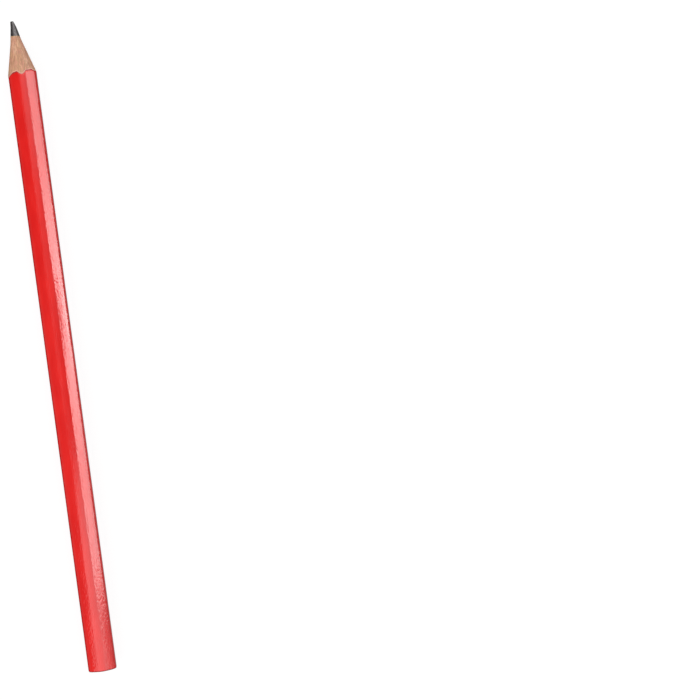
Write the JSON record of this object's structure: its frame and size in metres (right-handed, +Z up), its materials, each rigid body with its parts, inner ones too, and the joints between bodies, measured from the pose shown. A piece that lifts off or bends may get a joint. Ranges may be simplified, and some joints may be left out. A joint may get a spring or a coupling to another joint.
{
  "type": "wood-cased pencil",
  "caption": "Slim six-sided wood-cased pencil with a red lacquered barrel, sharpened to a cone with a round graphite core, for marking out and writing.",
  "frame": {"origin": "bottom centre: on the plane that the pencil lies on, under the middle of its length", "axes": "+X along the pencil from the writing point to the butt end, +Z up out of the top flat, parallel to the flat it rests on"},
  "size_m": [0.175, 0.008, 0.0076],
  "materials": {
    "graphite": "satin",
    "casing_wood": "matte",
    "glue": "satin",
    "undercoat": "matte",
    "red_lacquer": "gloss"
  },
  "bodies": {
    "root": {"graphite_core": "graphite", "lower_casing": "casing_wood", "upper_casing": "casing_wood", "glue_film": "glue", "undercoat": "undercoat", "colour_coat": "red_lacquer"}
  },
  "joints": []
}
